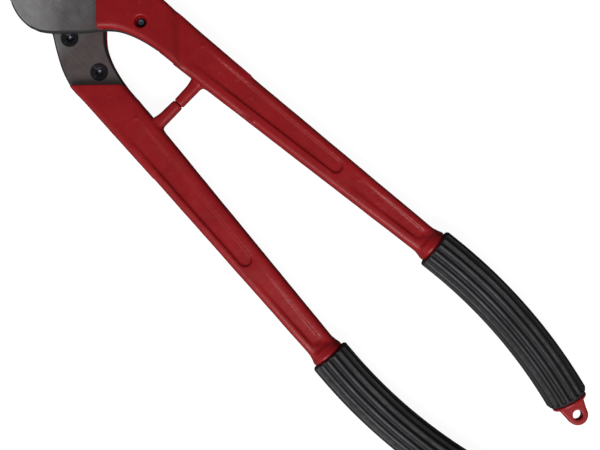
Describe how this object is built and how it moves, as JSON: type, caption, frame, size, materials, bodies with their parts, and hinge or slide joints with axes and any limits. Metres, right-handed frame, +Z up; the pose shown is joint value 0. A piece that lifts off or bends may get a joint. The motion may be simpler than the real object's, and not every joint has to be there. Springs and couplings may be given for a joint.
{
  "type": "cable cutter",
  "caption": "Two-handed cable cutter with red forged handles, black ribbed grips, screwed-on steel blades and a bolted pivot.",
  "frame": {"origin": "pivot axis, on the under face of the pivot bolt's head, which lies on the table", "axes": "+X from the pivot towards the jaws, +Y towards the left handle, +Z up along the pivot axis"},
  "size_m": [0.6016, 0.155, 0.0378],
  "materials": {
    "handle_paint": "semi-gloss red enamel over a forging",
    "blade_steel": "ground, hardened steel, oiled",
    "grip_rubber": "satin black",
    "black_fasteners": "black oxide",
    "zinc_fasteners": "zinc plated"
  },
  "bodies": {
    "left_side": {"left_handle": "handle_paint", "left_blade": "blade_steel", "left_grip": "grip_rubber", "left_hanging_eye": "handle_paint", "left_blade_screw_front": "black_fasteners", "left_blade_screw_rear": "black_fasteners", "pivot_bolt": "zinc_fasteners", "pivot_washer_lower": "zinc_fasteners", "pivot_washer_upper": "zinc_fasteners", "pivot_lock_washer": "black_fasteners", "pivot_nut": "zinc_fasteners"},
    "right_side": {"right_handle": "handle_paint", "right_blade": "blade_steel", "right_grip": "grip_rubber", "right_hanging_eye": "handle_paint", "right_blade_screw_front": "black_fasteners", "right_blade_screw_rear": "black_fasteners"}
  },
  "joints": [
    {"name": "jaw_pivot", "type": "hinge", "parent": "left_side", "child": "right_side", "pos_m": [0, 0, 0.0165], "axis": [0, 0, 1], "range_deg": [0, 62]}
  ]
}
